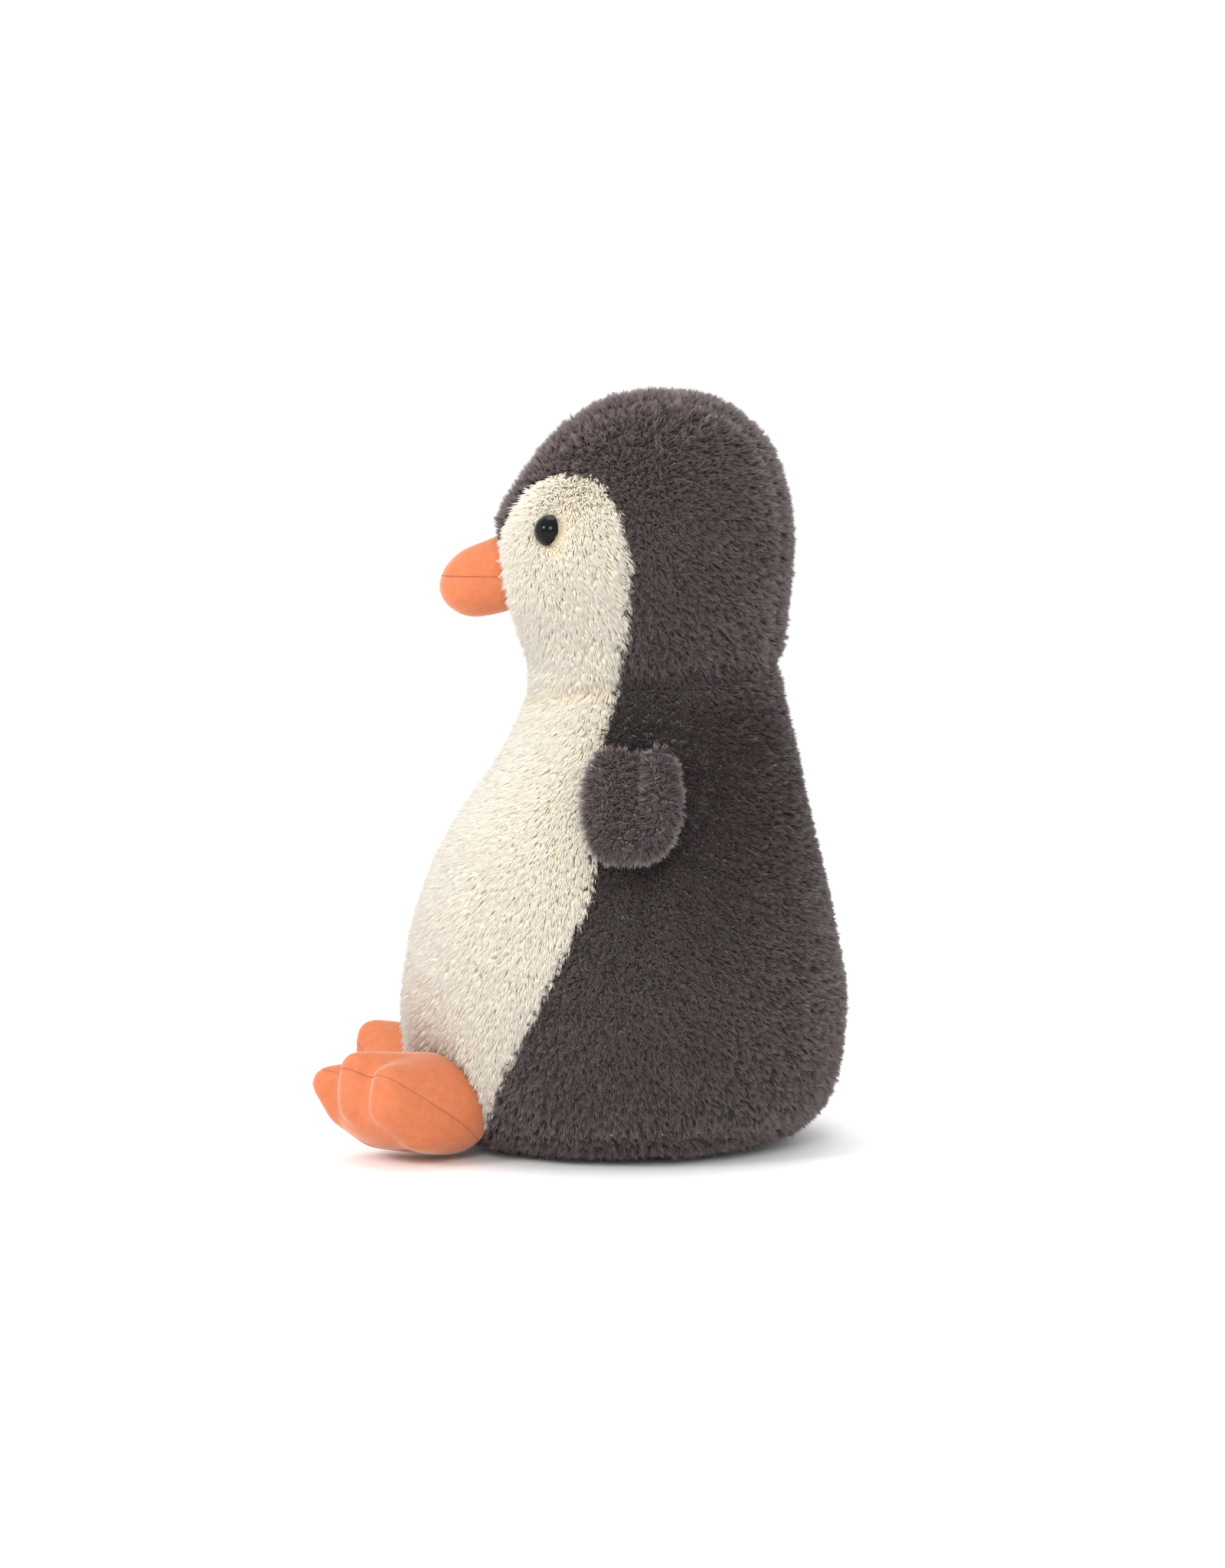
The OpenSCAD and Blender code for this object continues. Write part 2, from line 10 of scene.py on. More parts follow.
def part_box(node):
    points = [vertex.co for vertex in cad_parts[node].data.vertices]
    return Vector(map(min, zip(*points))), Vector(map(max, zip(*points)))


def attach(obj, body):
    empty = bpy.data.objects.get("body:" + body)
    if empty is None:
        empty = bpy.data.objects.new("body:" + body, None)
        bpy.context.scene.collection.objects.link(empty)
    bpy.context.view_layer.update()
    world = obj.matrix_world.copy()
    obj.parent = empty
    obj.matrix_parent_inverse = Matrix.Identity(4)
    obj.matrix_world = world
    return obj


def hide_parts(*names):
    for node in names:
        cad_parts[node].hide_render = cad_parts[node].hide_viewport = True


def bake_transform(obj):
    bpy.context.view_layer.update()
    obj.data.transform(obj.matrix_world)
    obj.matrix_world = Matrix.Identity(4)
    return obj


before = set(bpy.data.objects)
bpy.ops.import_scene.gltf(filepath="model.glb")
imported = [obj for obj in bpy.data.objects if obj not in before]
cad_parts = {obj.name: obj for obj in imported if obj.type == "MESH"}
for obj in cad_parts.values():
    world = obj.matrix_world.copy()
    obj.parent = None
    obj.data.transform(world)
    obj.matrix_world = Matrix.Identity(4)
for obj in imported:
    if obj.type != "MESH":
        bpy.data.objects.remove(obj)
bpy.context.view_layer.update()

sides = {"left": 1, "right": -1}
mm = 0.001
neck = dict(start=126 * mm, end=162 * mm)  # between these heights the plush bends with the head


# ---- small helpers ----
def deselect():
    if bpy.context.object and bpy.context.object.mode != "OBJECT":
        bpy.ops.object.mode_set(mode="OBJECT")
    bpy.ops.object.select_all(action="DESELECT")


def pick(*objects):
    deselect()
    for obj in objects:
        obj.select_set(True)
    bpy.context.view_layer.objects.active = objects[0]
    return objects[0]


def edit(obj, kind="FACE"):
    # edit mode with nothing selected
    pick(obj)
    bpy.ops.object.mode_set(mode="EDIT")
    bpy.ops.mesh.select_mode(type=kind)
    bpy.ops.mesh.select_all(action="DESELECT")


def objectMode():
    bpy.ops.object.mode_set(mode="OBJECT")


def rename(obj, name):
    obj.name = name
    obj.data.name = name
    return obj


def finish(obj, kind, **settings):
    # adds one modifier and applies it
    pick(obj)
    modifier = obj.modifiers.new(kind.title(), kind)
    for key, value in settings.items():
        setattr(modifier, key, value)
    bpy.ops.object.modifier_apply(modifier=modifier.name)
    return obj


def settle(obj):
    # puts an object's place, turn and scale into its mesh
    pick(obj)
    bpy.ops.object.transform_apply(location=True, rotation=True, scale=True)
    return obj


def join(name, objects):
    pick(*objects)
    if len(objects) > 1:
        bpy.ops.object.join()
    return rename(bpy.context.object, name)


def twin(obj, name):
    copy = obj.copy()
    copy.data = obj.data.copy()
    bpy.context.scene.collection.objects.link(copy)
    return rename(copy, name)


def mirrored(obj, name):
    # the same piece for the other side, with its own mesh
    copy = twin(obj, name)
    copy.data.transform(Matrix.Scale(-1, 4, (1, 0, 0)))
    edit(copy)
    bpy.ops.mesh.select_all(action="SELECT")
    bpy.ops.mesh.flip_normals()
    objectMode()
    return copy


def cadCopy(name, nodes):
    # one new object holding merged copies of CAD nodes
    copies = []
    for node in nodes:
        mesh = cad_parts[node].data.copy()
        mesh.transform(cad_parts[node].matrix_world)
        mesh.materials.clear()
        copies.append(bpy.data.objects.new(node + "Copy", mesh))
        bpy.context.scene.collection.objects.link(copies[-1])
    obj = join(name, copies)
    edit(obj, "VERT")
    bpy.ops.mesh.select_all(action="SELECT")
    bpy.ops.mesh.remove_doubles(threshold=0.001 * mm)
    objectMode()
    return obj


def ball(centre, radii, turn=None, segments=32):
    # an ellipsoid at its place
    deselect()
    bpy.ops.mesh.primitive_uv_sphere_add(segments=segments, ring_count=segments // 2, radius=1)
    obj = bpy.context.object
    turn = turn or Matrix.Identity(4)
    obj.matrix_world = Matrix.Translation(centre) @ turn @ Matrix.Diagonal((*radii, 1))
    return settle(obj)


def coords(obj):
    co = np.empty(len(obj.data.vertices) * 3)
    obj.data.vertices.foreach_get("co", co)
    return co.reshape(-1, 3)


def pieceName(node):
    # hood_left becomes hoodLeft
    words = node.title().replace("_", "")
    return words[:1].lower() + words[1:]


def setCoords(obj, co):
    obj.data.vertices.foreach_set("co", np.asarray(co, float).ravel())
    obj.data.update()


def vertexNormals(obj):
    normals = np.empty(len(obj.data.vertices) * 3)
    obj.data.vertex_normals.foreach_get("vector", normals)
    return normals.reshape(-1, 3)


def setValue(obj, name, values):
    # one number per vertex, for a material to read
    obj.data.attributes.new(name, "FLOAT", "POINT").data.foreach_set("value", np.asarray(values, np.float32))


def bell(distance, width):
    return np.exp(-((distance / width) ** 2))


def smoothShade(obj):
    pick(obj)
    bpy.ops.object.shade_smooth()
    return obj


def dropFaces(obj, drop):
    # deletes the faces marked in a list of yes and no
    edit(obj)
    objectMode()
    obj.data.polygons.foreach_set("select", np.asarray(drop, bool))
    bpy.ops.object.mode_set(mode="EDIT")
    bpy.ops.mesh.delete(type="FACE")
    objectMode()
    return obj


def keepLargest(obj):
    # the remesh may leave bubbles inside: only the largest shell stays
    edit(obj)
    bpy.ops.mesh.select_all(action="SELECT")
    bpy.ops.mesh.separate(type="LOOSE")
    objectMode()
    parts = sorted(bpy.context.selected_objects, key=lambda o: len(o.data.vertices))
    for part in parts[:-1]:
        bpy.data.objects.remove(part)
    return pick(parts[-1])


def remesh(obj, size, rounds, factor=0.5):
    finish(obj, "REMESH", mode="VOXEL", voxel_size=size)
    obj = keepLargest(obj)
    return finish(obj, "SMOOTH", factor=factor, iterations=rounds)


def puff(obj, cap, pressure=4.0, frames=20):
    # cloth simulation with air pressure: fills out where the cloth is slack, by no more than cap
    before, normal = coords(obj).copy(), vertexNormals(obj)
    pick(obj)
    cloth = obj.modifiers.new("Cloth", "CLOTH")
    cloth.settings.use_pressure = True
    cloth.settings.uniform_pressure_force = pressure
    cloth.settings.effector_weights.gravity = 0
    cloth.point_cache.frame_end = frames
    for number in range(1, frames + 1):
        bpy.context.scene.frame_set(number)
    bpy.ops.object.modifier_apply(modifier=cloth.name)
    bpy.context.scene.frame_set(1)
    move = ((coords(obj) - before) * normal).sum(1)
    move = np.clip(move - np.median(move), -cap, cap)
    print(obj.name, "puffed between", round(move.min() / mm, 2), "and", round(move.max() / mm, 2), "mm")
    setCoords(obj, before + normal * move[:, None])
    return finish(obj, "SMOOTH", factor=0.5, iterations=2)


def cut(obj, point, normal, clear=False, fill=False):
    edit(obj)
    bpy.ops.mesh.select_all(action="SELECT")
    bpy.ops.mesh.bisect(plane_co=point, plane_no=normal, clear_inner=clear, use_fill=fill)
    objectMode()
    return obj


def reachesNeck(piece):
    height = coords(piece)[:, 2]
    return height.min() < neck["end"] and height.max() > neck["start"]


def place(piece, body):
    # the plush of head and torso stretches together across the neck; everything else rides on its body
    if body in ("head", "torso") and reachesNeck(piece):
        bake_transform(piece)
    else:
        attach(piece, body)
    return piece


# ---- materials ----
def material(name, colour, roughness, **values):
    mat = bpy.data.materials.new(name)
    mat.use_nodes = True
    mat.diffuse_color = (*colour, 1)
    shader = mat.node_tree.nodes["Principled BSDF"]
    shader.inputs["Base Color"].default_value = (*colour, 1)
    shader.inputs["Roughness"].default_value = roughness
    for key, value in values.items():
        shader.inputs[key.replace("_", " ")].default_value = value
    return mat, mat.node_tree, shader


def noiseNode(tree, scale, detail=3, rough=0.5):
    where = tree.nodes.new("ShaderNodeTexCoord")
    node = tree.nodes.new("ShaderNodeTexNoise")
    node.inputs["Scale"].default_value = scale
    node.inputs["Detail"].default_value = detail
    node.inputs["Roughness"].default_value = rough
    tree.links.new(where.outputs["Object"], node.inputs["Vector"])
    return node.outputs["Fac"]


def attribute(tree, name):
    node = tree.nodes.new("ShaderNodeAttribute")
    node.attribute_name = name
    return node


def ramp(tree, source, stops):
    node = tree.nodes.new("ShaderNodeValToRGB")
    while len(node.color_ramp.elements) < len(stops):
        node.color_ramp.elements.new(0.5)
    for element, (spot, colour) in zip(node.color_ramp.elements, stops):
        element.position = spot
        element.color = (*colour, 1)
    tree.links.new(source, node.inputs["Fac"])
    return node.outputs["Color"]


def multiply(tree, a, b):
    node = tree.nodes.new("ShaderNodeMix")
    node.data_type = "RGBA"
    node.blend_type = "MULTIPLY"
    node.inputs["Factor"].default_value = 1
    colours = [socket for socket in node.inputs if socket.type == "RGBA"]
    tree.links.new(a, colours[0])
    tree.links.new(b, colours[1])
    return [socket for socket in node.outputs if socket.type == "RGBA"][0]


def bump(tree, shader, height, strength, distance):
    node = tree.nodes.new("ShaderNodeBump")
    node.inputs["Strength"].default_value = strength
    node.inputs["Distance"].default_value = distance
    tree.links.new(height, node.inputs["Height"])
    tree.links.new(node.outputs["Normal"], shader.inputs["Normal"])


def grey(value):
    return (value,) * 3


bandTop = 0.25


def pileMaterial(name, root, middle, tip, uneven, sheen, crease, shadeBands=None):
    # colour runs from root to tip of each lock, the root colour a painted shade between the locks (in cream a
    # painted warm bounce light), and differs a little from lock to lock and place to place
    mat, tree, shader = material(
        name, middle, 0.85, Sheen_Weight=sheen, Sheen_Roughness=0.5, Specular_IOR_Level=0.15)
    lock = attribute(tree, "lock")
    parts = tree.nodes.new("ShaderNodeSeparateXYZ")
    tree.links.new(lock.outputs["Vector"], parts.inputs["Vector"])
    colour = ramp(tree, parts.outputs["X"], [(0.0, root), (0.5, middle), (1.0, tip)])
    perLock = ramp(tree, parts.outputs["Y"], [(0.0, grey(1 - uneven)), (1.0, grey(1.0))])
    colour = multiply(tree, colour, perLock)
    # painted shade: locks near the neck seam take the crease colour, as if shaded by the head's overhang
    neckCreaseShade = ramp(tree, parts.outputs["Z"], [(0.0, grey(1.0)), (1.0, crease)])
    colour = multiply(tree, colour, neckCreaseShade)
    patches = ramp(tree, noiseNode(tree, 45, 2), [(0.3, grey(1 - uneven / 2)), (0.7, grey(1.0))])
    colour = multiply(tree, colour, patches)
    if shadeBands:
        # painted shade: darker at some heights, which are parts of bandTop
        where = tree.nodes.new("ShaderNodeTexCoord")
        split = tree.nodes.new("ShaderNodeSeparateXYZ")
        tree.links.new(where.outputs["Object"], split.inputs["Vector"])
        rise = tree.nodes.new("ShaderNodeMapRange")
        rise.inputs["From Max"].default_value = bandTop
        tree.links.new(split.outputs["Z"], rise.inputs["Value"])
        colour = multiply(tree, colour, ramp(tree, rise.outputs["Result"], shadeBands))
    tree.links.new(colour, shader.inputs["Base Color"])
    return mat


def clothMaterial(name, dark, light, grain=900, strength=0.5, roughness=0.95):
    # knitted backing, pouch cloth and fibre: a fine mottled grain with bump
    mat, tree, shader = material(name, light, roughness)
    fine = noiseNode(tree, grain, 2)
    tree.links.new(ramp(tree, fine, [(0.35, dark), (0.65, light)]), shader.inputs["Base Color"])
    bump(tree, shader, fine, strength, 0.6 * mm)
    return mat


def suedeMaterial(name, look):
    # brushed suede cloth: mottled nap, paler fuzz at grazing angles, and a dark line down in the seam
    mat, tree, shader = material(
        name, look["light"], 0.9, Sheen_Weight=look["sheen"], Sheen_Roughness=0.35,
        Sheen_Tint=(1.0, 0.82, 0.7, 1), Specular_IOR_Level=0.2)
    nap = noiseNode(tree, 420, 5, 0.65)
    colour = ramp(tree, nap, [(0.3, look["dark"]), (0.7, look["light"])])
    line = ramp(tree, attribute(tree, "seam").outputs["Fac"], [(0.2, grey(1)), (0.9, look["seam"])])
    colour = multiply(tree, colour, line)
    tree.links.new(colour, shader.inputs["Base Color"])
    bump(tree, shader, noiseNode(tree, 2200, 3, 0.6), 0.35, 0.15 * mm)
    return mat


def plasticMaterial(name, colour, roughness, speck):
    mat, tree, shader = material(name, colour, roughness)
    fine = noiseNode(tree, speck, 2)
    darker = tuple(part * 0.86 for part in colour)
    tree.links.new(ramp(tree, fine, [(0.3, darker), (0.7, colour)]), shader.inputs["Base Color"])
    bump(tree, shader, fine, 0.15, 0.1 * mm)
    return mat


# painted shade: the charcoal pile is darkened over these heights, standing in for dimmer light on the upper
# back
paintedShadeBand = (0.46, 0.38, 0.37)  # the upper back, from the flippers to near the neck seam
# root colours are painted shade between the locks: near black in charcoal and flipper, warm yellow in cream
# as painted bounce light
pileLooks = {
    "charcoal": dict(
        root=(0.012, 0.008, 0.0075), middle=(0.095, 0.066, 0.063), tip=(0.29, 0.212, 0.205),
        uneven=0.36, sheen=0.3, crease=grey(0.35),
        shadeBands=[(0.22, grey(1.0)), (0.4, paintedShadeBand), (0.53, paintedShadeBand), (0.585, grey(1.0))]),
    "flipper": dict(
        root=(0.014, 0.009, 0.009), middle=(0.088, 0.056, 0.056), tip=(0.25, 0.165, 0.168),
        uneven=0.3, sheen=0.4, crease=grey(1.0)),
    "cream": dict(
        root=(1.0, 0.85, 0.58), middle=(0.97, 0.9, 0.765), tip=(0.965, 0.912, 0.843),
        uneven=0.06, sheen=0.1, crease=(0.97, 0.93, 0.86)),
}
piles = {key: pileMaterial(key + "Pile", **look) for key, look in pileLooks.items()}
# the backing colours are painted shade between the locks: charcoal darker than its pile, cream warm yellow as
# painted bounce light
backings = {
    "charcoal": clothMaterial("charcoalBacking", (0.018, 0.013, 0.013), (0.04, 0.031, 0.031)),
    "cream": clothMaterial("creamBacking", (0.9, 0.76, 0.5), (0.95, 0.85, 0.62)),
}
suedeLook = dict(dark=(0.49, 0.142, 0.059), light=(0.555, 0.172, 0.075), seam=(0.85, 0.7, 0.62), sheen=0.6)
suede = suedeMaterial("orangeSuede", suedeLook)
threadMat = plasticMaterial("rustThread", (0.3, 0.06, 0.025), 0.8, 3000)
fibre = clothMaterial("fibreFilling", (0.7, 0.7, 0.68), (0.88, 0.88, 0.86), 350, 1.0)
pouchCloth = clothMaterial("pouchCloth", (0.66, 0.65, 0.61), (0.8, 0.79, 0.75), 1400, 0.4)
print("materials made")

# ---- camera, light and floor ----
view = dict(aim=(0, 8.2 * mm, 109.2 * mm), distance=1.35, elevation=5.0, frameHeight=0.477)
camera = bpy.data.objects.new("camera", bpy.data.cameras.new("camera"))
bpy.context.scene.collection.objects.link(camera)
camera.data.sensor_fit = "VERTICAL"
camera.data.sensor_height = 24
camera.data.lens = 24 * view["distance"] / view["frameHeight"]
tilt = math.radians(view["elevation"])
camera.location = Vector(view["aim"]) + Vector((math.cos(tilt), 0, math.sin(tilt))) * view["distance"]
camera.rotation_euler = (math.pi / 2 - tilt, 0, math.pi / 2)
bpy.context.scene.camera = camera
bpy.context.scene.view_settings.view_transform = "Standard"

world = bpy.context.scene.world or bpy.data.worlds.new("world")
bpy.context.scene.world = world
world.use_nodes = True
world.node_tree.nodes["Background"].inputs["Color"].default_value = (1, 1, 1, 1)
world.node_tree.nodes["Background"].inputs["Strength"].default_value = 1.08

lamps = {
    "key": dict(place=(0.9, -1.1, 0.8), size=0.36, power=7.8),
    "front": dict(place=(0.3, -1.4, 0.5), size=0.7, power=1.5),
    "fill": dict(place=(1.3, 0.0, 0.7), size=0.5, power=7),
    "top": dict(place=(-0.2, 0.0, 1.3), size=0.7, power=4),
}
for name, lamp in lamps.items():
    light = bpy.data.lights.new(name, "AREA")
    light.size = lamp["size"]
    light.energy = lamp["power"]
    obj = bpy.data.objects.new(name, light)
    obj.location = lamp["place"]
    obj.rotation_euler = (Vector((0, 0, 0.1)) - obj.location).to_track_quat("-Z", "Y").to_euler()
    bpy.context.scene.collection.objects.link(obj)

deselect()
bpy.ops.mesh.primitive_plane_add(size=12, location=(0, 0, -0.2 * mm))
floor = rename(bpy.context.object, "floor")
settle(floor)
floorMat = material("paleFloor", (0.985, 0.985, 0.985), 0.8, Specular_IOR_Level=0.1)[0]
floor.data.materials.append(floorMat)
print("camera, light and floor made")


# ---- pile: locks of plush, each a thin closed spike ----
spikeSides = ((0, 1, 3), (1, 2, 3), (2, 0, 3), (0, 2, 1))
spikeTurns = (0, 2.0944, 4.1888)
spikeCell = ((0.2, 0.15), (0.8, 0.15), (0.5, 0.15), (0.5, 0.85))  # its corners in its square of the UV map
sunk = 0.3 * mm  # how far a lock starts below the cloth, and the least height of its tip above the floor


def tufts(name, cloth, faces, look, density, length, width, lean, stray, clump, perLock, seed, flow,
          avoid=None, trim=None):
    mesh = cloth.data
    mesh.calc_loop_triangles()
    tris = np.empty(len(mesh.loop_triangles) * 3, int)
    mesh.loop_triangles.foreach_get("vertices", tris)
    owner = np.empty(len(mesh.loop_triangles), int)
    mesh.loop_triangles.foreach_get("polygon_index", owner)
    tris = tris.reshape(-1, 3)[np.isin(owner, faces)]
    co, normals = coords(cloth), vertexNormals(cloth)
    a, b, c = (co[tris[:, i]] for i in range(3))
    area = np.linalg.norm(np.cross(b - a, c - a), axis=1) / 2
    rng = np.random.default_rng(seed)
    count = int(area.sum() / mm**2 * density)
    which = rng.choice(len(tris), count, p=area / area.sum())
    u, v = rng.random(count), rng.random(count)
    u, v = np.where(u + v > 1, 1 - u, u), np.where(u + v > 1, 1 - v, v)
    weights = np.stack([1 - u - v, u, v], 1)[:, :, None]
    root = (co[tris[which]] * weights).sum(1)
    normal = (normals[tris[which]] * weights).sum(1)
    if avoid is not None:
        keep = ~avoid(root)
        root, normal, count = root[keep], normal[keep], int(keep.sum())
    normal /= np.linalg.norm(normal, axis=1, keepdims=True)
    down = flow(root, normal)
    down = down - normal * (down * normal).sum(1, keepdims=True)
    down /= np.maximum(np.linalg.norm(down, axis=1, keepdims=True), 0.15)
    angle = np.radians(lean + rng.normal(0, 9, count))[:, None]
    way = normal * np.cos(angle) + down * np.sin(angle) + rng.normal(0, stray, (count, 3))
    way /= np.linalg.norm(way, axis=1, keepdims=True)
    long = (length * rng.uniform(0.78, 1.12, count))[:, None]
    if trim is not None:
        long = long * trim(root)[:, None]
    tip = root + way * long
    leaders = rng.choice(count, max(count // perLock, 1), replace=False)
    tree = KDTree(len(leaders))
    for i, j in enumerate(leaders):
        tree.insert(root[j], i)
    tree.balance()
    nearest = np.array([leaders[tree.find(p)[1]] for p in root])
    pull = np.minimum(clump * rng.uniform(0.6, 1.25, count), 0.92)[:, None]
    tip = tip + (tip[nearest] - tip) * pull
    tip[:, 2] = np.maximum(tip[:, 2], sunk)
    across = np.cross(way, normal + rng.normal(0, 0.5, (count, 3)))
    across /= np.linalg.norm(across, axis=1, keepdims=True)
    other = np.cross(way, across)
    thick = (width * rng.uniform(0.8, 1.25, count))[:, None]
    base = root - normal * sunk
    ring = [base + (across * math.cos(t) + other * math.sin(t)) * thick for t in spikeTurns]
    points = np.stack([*ring, tip], 1).reshape(-1, 3)
    first = np.arange(count)[:, None] * 4
    corners = np.concatenate([first + np.array(face) for face in spikeSides], 1).reshape(-1)
    made = bpy.data.meshes.new(name)
    made.vertices.add(len(points))
    made.vertices.foreach_set("co", points.ravel())
    made.loops.add(len(corners))
    made.loops.foreach_set("vertex_index", corners.astype(np.int32))
    made.polygons.add(count * 4)
    made.polygons.foreach_set("loop_start", np.arange(0, len(corners), 3, dtype=np.int32))
    made.update(calc_edges=True)
    # for the material: how near the tip, the lock's own shade, and how near the neck seam, where the locks
    # get a painted shade
    shade = np.zeros((count, 4, 3))
    shade[:, 3, 0] = 1
    ownShade = rng.random(count)[:, None]
    sharedShade = np.random.default_rng(7).random(len(points))[nearest][:, None]
    shade[:, :, 1] = (ownShade + sharedShade) / 2
    shade[:, :, 2] = bell(neckDistance(root), 2.2 * mm)[:, None]
    made.attributes.new("lock", "FLOAT_VECTOR", "POINT").data.foreach_set("vector", shade.ravel())
    # one cell of a square grid for each lock, root below and tip above
    columns = math.ceil(math.sqrt(count))
    cell = np.stack([np.arange(count) % columns, np.arange(count) // columns], 1)[:, None, :]
    flat = ((cell + np.array(spikeCell)[None, :, :]) / columns).reshape(-1, 2)[corners]
    made.uv_layers.new(name="OFBake").data.foreach_set("uv", flat.ravel())
    made.materials.append(piles[look])
    obj = bpy.data.objects.new(name, made)
    bpy.context.scene.collection.objects.link(obj)
    return smoothShade(obj)


def neckDistance(root):
    tree = KDTree(len(neckRim))
    for i, point in enumerate(neckRim):
        tree.insert(point, i)
    tree.balance()
    return np.array([tree.find(p)[2] for p in root])


pile = dict(density=4.7, length=3.9 * mm, width=0.25 * mm, lean=28, stray=0.38, clump=0.72, perLock=8)
creamPile = dict(density=5.3, length=4.5 * mm, width=0.36 * mm, lean=57, stray=0.14, clump=0.42, perLock=8)
basePile = dict(density=4, length=4.0 * mm)
mostLocks = 48000  # in one piece


def growPile(name, cloth, faces, look, seed, body, flow, **more):
    # pile over the given faces, split into as many pieces as keep each one light
    settings = {**pile, **(creamPile if look == "cream" else {}), **more}
    size = np.array([cloth.data.polygons[int(i)].area for i in faces])
    parts = math.ceil(size.sum() / mm**2 * settings["density"] / mostLocks)
    height = np.array([cloth.data.polygons[int(i)].center.z for i in faces])
    order = np.argsort(height)
    limits = np.searchsorted(np.cumsum(size[order]), size.sum() * np.arange(1, parts) / parts)
    for number, group in enumerate(np.split(faces[order], limits)):
        label = name + "Pile" + (chr(65 + number) if parts > 1 else "")
        piece = tufts(label, cloth, group, look, seed=seed + number, flow=flow, **settings)
        place(piece, body)
        print(label, "has", len(piece.data.polygons), "faces")


# ---- body: one skin under all the plush, cut into its panels ----
body = dict(voxel=2.6 * mm, under=3.2 * mm, cap=1.0 * mm, lumps=1.6 * mm, lumpSize=26 * mm,
            seamWidth=3.2 * mm, wall=1.0 * mm)
panels = {
    "hood_left": ("charcoal", "head"),
    "hood_right": ("charcoal", "head"),
    "crown_strip": ("charcoal", "head"),
    "face_left": ("cream", "head"),
    "face_right": ("cream", "head"),
    "tummy_panel": ("cream", "torso"),
    "back_left": ("charcoal", "torso"),
    "back_right": ("charcoal", "torso"),
    "base_panel": ("charcoal", "torso"),
}
panelNames = list(panels)
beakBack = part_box("beak_upper")[1].y
beakMiddle = Vector((0, beakBack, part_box("beak_lower")[1].z))
eyeMiddle = {side: (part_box("eye_" + side)[0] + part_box("eye_" + side)[1]) / 2 for side in sides}

skin = cadCopy("bodySkin", [*panels, "head_filling", "torso_filling", "pellet_pouch", "pellets"])
skin = remesh(skin, body["voxel"], rounds=7)
finish(skin, "DISPLACE", strength=-body["under"], mid_level=0)
finish(skin, "SMOOTH", factor=0.5, iterations=3)
puff(skin, body["cap"])
finish(skin, "SUBSURF", levels=1, render_levels=1)
lumps = bpy.data.textures.new("lumps", "CLOUDS")
lumps.noise_scale = body["lumpSize"]
finish(skin, "DISPLACE", texture=lumps, texture_coords="LOCAL", strength=body["lumps"], mid_level=0.5)
smoothShade(skin)
print("body skin has", len(skin.data.polygons), "faces")

panelTrees = {}
for node in panels:
    source = cadCopy(node + "Tree", [node])
    corners = [tuple(p.vertices) for p in source.data.polygons]
    panelTrees[node] = BVHTree.FromPolygons([tuple(v) for v in coords(source)], corners)
    bpy.data.objects.remove(source)


def nearestPanel(point):
    return min(panels, key=lambda node: panelTrees[node].find_nearest(point)[3])


# each face belongs to the panel that lies over it
skinFaces = skin.data.polygons
facePanel = np.array([panelNames.index(nearestPanel(p.center + p.normal * body["under"])) for p in skinFaces])

# seams: the skin dips where two panels meet
seamDepth = {
    "default": 0.5, "head head charcoal charcoal": 0.8, "torso torso charcoal charcoal": 0.8,
    "head torso charcoal charcoal": 2.0, "head torso cream cream": 0.7,
}
vertexPanels = [set() for _ in skin.data.vertices]
for polygon, index in zip(skinFaces, facePanel):
    for vertex in polygon.vertices:
        vertexPanels[vertex].add(int(index))
rims = {}
for vertex, found in zip(skin.data.vertices, vertexPanels):
    if len(found) > 1:
        pair = sorted(panels[panelNames[i]] for i in sorted(found)[:2])
        key = " ".join(sorted(p[1] for p in pair)) + " " + " ".join(sorted(p[0] for p in pair))
        rims.setdefault(seamDepth.get(key, seamDepth["default"]), []).append(vertex.co.copy())
neckRim = np.array([vertex.co for vertex, found in zip(skin.data.vertices, vertexPanels)
                    if len({panels[panelNames[i]][1] for i in found}) > 1])
skinCo, skinNormal = coords(skin), vertexNormals(skin)
dip = np.zeros(len(skinCo))
for depth, points in rims.items():
    tree = KDTree(len(points))
    for i, point in enumerate(points):
        tree.insert(point, i)
    tree.balance()
    distance = np.array([tree.find(p)[2] for p in skinCo])
    dip = np.maximum(dip, depth * mm * bell(distance, body["seamWidth"]))
setCoords(skin, skinCo - skinNormal * dip[:, None])
finish(skin, "SMOOTH", factor=0.4, iterations=1)

# filling: the same shape a little further in, parted at the neck
inside = dict(gap=2.8 * mm, neck=141 * mm, front=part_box("head_filling")[0].y + 3 * mm)
for name, normal in (("torso", (0, 0, -1)), ("head", (0, 0, 1))):
    stuffing = twin(skin, name + "Filling")
    finish(stuffing, "DECIMATE", ratio=0.3)
    finish(stuffing, "DISPLACE", strength=-inside["gap"], mid_level=0)
    finish(stuffing, "SMOOTH", factor=0.5, iterations=4)
    if name == "head":
        # it stays well behind the plush round the beak
        co = coords(stuffing)
        co[:, 1] = np.maximum(co[:, 1], inside["front"])
        setCoords(stuffing, co)
    cut(stuffing, (0, 0, inside["neck"]), normal, clear=True, fill=True)
    stuffing.data.materials.append(fibre)
    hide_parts(name + "_filling")
    place(smoothShade(stuffing), name)
for index, node in enumerate(panelNames):
    look, rider = panels[node]
    panel = dropFaces(twin(skin, pieceName(node) + "Cloth"), facePanel != index)
    finish(panel, "DECIMATE", ratio=0.4)
    finish(panel, "SOLIDIFY", thickness=body["wall"], offset=-1)
    panel.data.materials.append(backings[look])
    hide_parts(node)
    place(smoothShade(panel), rider)
print("panels and filling made")


def bodyFlow(root, normal):
    # down the body and a little to the back
    return np.tile(np.array((0, 0.2, -1.0)), (len(root), 1))


